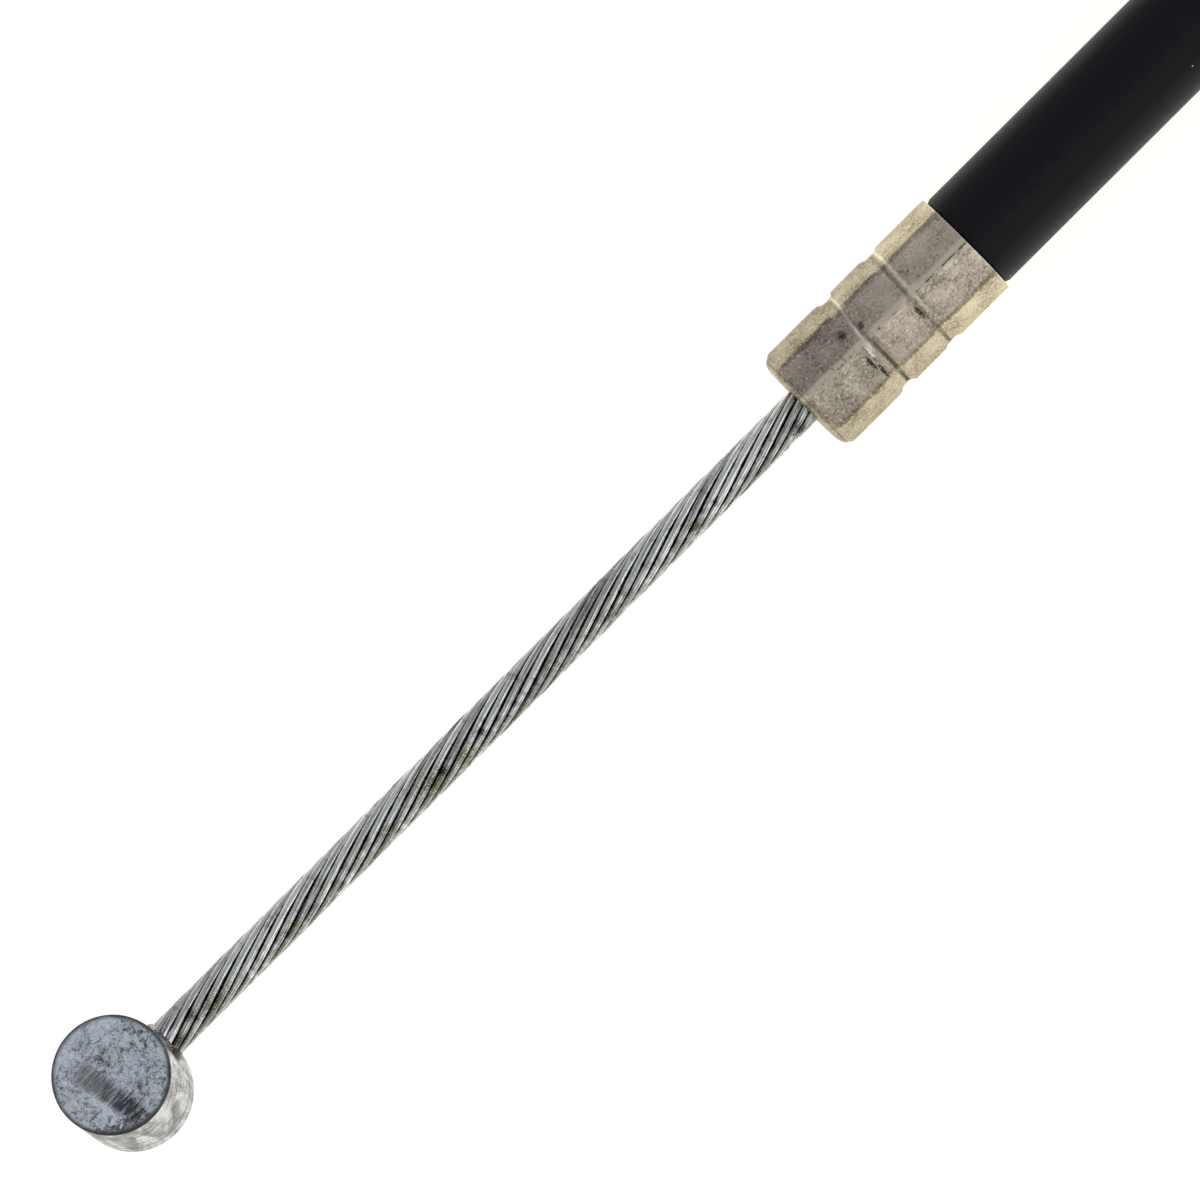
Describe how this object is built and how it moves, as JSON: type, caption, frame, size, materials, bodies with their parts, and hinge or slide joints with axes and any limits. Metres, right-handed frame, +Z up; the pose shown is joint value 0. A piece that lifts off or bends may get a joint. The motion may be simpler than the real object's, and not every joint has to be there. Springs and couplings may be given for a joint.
{
  "type": "control cable",
  "caption": "Lever-end control cable: barrel nipple on a stranded wire, crimped ferrule, coiled black housing, and a threaded adjuster with lock nuts and a second barrel.",
  "frame": {"origin": "centre of the lever barrel, on the wire's axis", "axes": "+X along the wire from the lever barrel to the housing, +Z up the lever barrel's own axis, so the cable lies on the plane z = -4 mm; +Y to the side that the housing's coil lies on"},
  "size_m": [0.2099, 0.0995, 0.0176],
  "materials": {
    "cast_zinc": "die-cast zinc, dull blue-grey with a bright side",
    "galvanised_strand": "galvanised strand with dark grease in its grooves",
    "plated_ferrule": "plated drawn steel, crimped, warm silver",
    "liner": "natural polyethylene",
    "steel_winding": "flat drawn wire",
    "jacket": "satin black extruded PVC",
    "tie": "moulded black nylon",
    "plated_adjuster": "bright zinc plate on turned steel",
    "plated_hardware": "bright zinc plate"
  },
  "bodies": {
    "housing": {"lever_ferrule": "plated_ferrule", "lever_liner": "liner", "lever_winding": "steel_winding", "lever_jacket": "jacket", "housing_coil": "jacket", "coil_tie_a": "tie", "coil_tie_b": "tie", "housing_tail": "jacket", "far_jacket": "jacket", "far_winding": "steel_winding", "far_liner": "liner", "adjuster_sleeve": "plated_adjuster"},
    "lever_wire": {"lever_barrel": "cast_zinc", "lever_wire_core": "galvanised_strand", "lever_wire_cover": "galvanised_strand"},
    "far_wire": {"far_wire_core": "galvanised_strand", "far_wire_cover": "galvanised_strand", "far_barrel": "cast_zinc"},
    "outer_washer": {"washer_outer": "plated_hardware"},
    "outer_nut": {"lock_nut_outer": "plated_hardware"},
    "inner_washer": {"washer_inner": "plated_hardware"},
    "inner_nut": {"lock_nut_inner": "plated_hardware"}
  },
  "joints": [
    {"name": "lever_wire_pull", "type": "slide", "parent": "housing", "child": "lever_wire", "axis": [-1, 0, 0], "range_m": [-0.0584, 0.0249]},
    {"name": "far_wire_pull", "type": "slide", "parent": "housing", "child": "far_wire", "axis": [1, 0, 0], "range_m": [-0.0584, 0.0249]},
    {"name": "outer_nut_travel", "type": "slide", "parent": "housing", "child": "outer_washer", "axis": [1, 0, 0], "range_m": [-0.0035, 0.0023]},
    {"name": "outer_nut_spin", "type": "hinge", "parent": "outer_washer", "child": "outer_nut", "pos_m": [0.037, 0.088, 0.0035], "axis": [1, 0, 0], "range_deg": [-1000, 660]},
    {"name": "inner_nut_travel", "type": "slide", "parent": "housing", "child": "inner_washer", "axis": [1, 0, 0], "range_m": [-0.0023, 0.0037]},
    {"name": "inner_nut_spin", "type": "hinge", "parent": "inner_washer", "child": "inner_nut", "pos_m": [0.0503, 0.088, 0.0035], "axis": [1, 0, 0], "range_deg": [-660, 1060]}
  ],
  "couplings": [
    {"joint": "far_wire_pull", "follows": "lever_wire_pull", "ratio": 1},
    {"joint": "outer_nut_travel", "follows": "outer_nut_spin", "m_per_rad": 0.00019894},
    {"joint": "inner_nut_travel", "follows": "inner_nut_spin", "m_per_rad": 0.00019894}
  ]
}
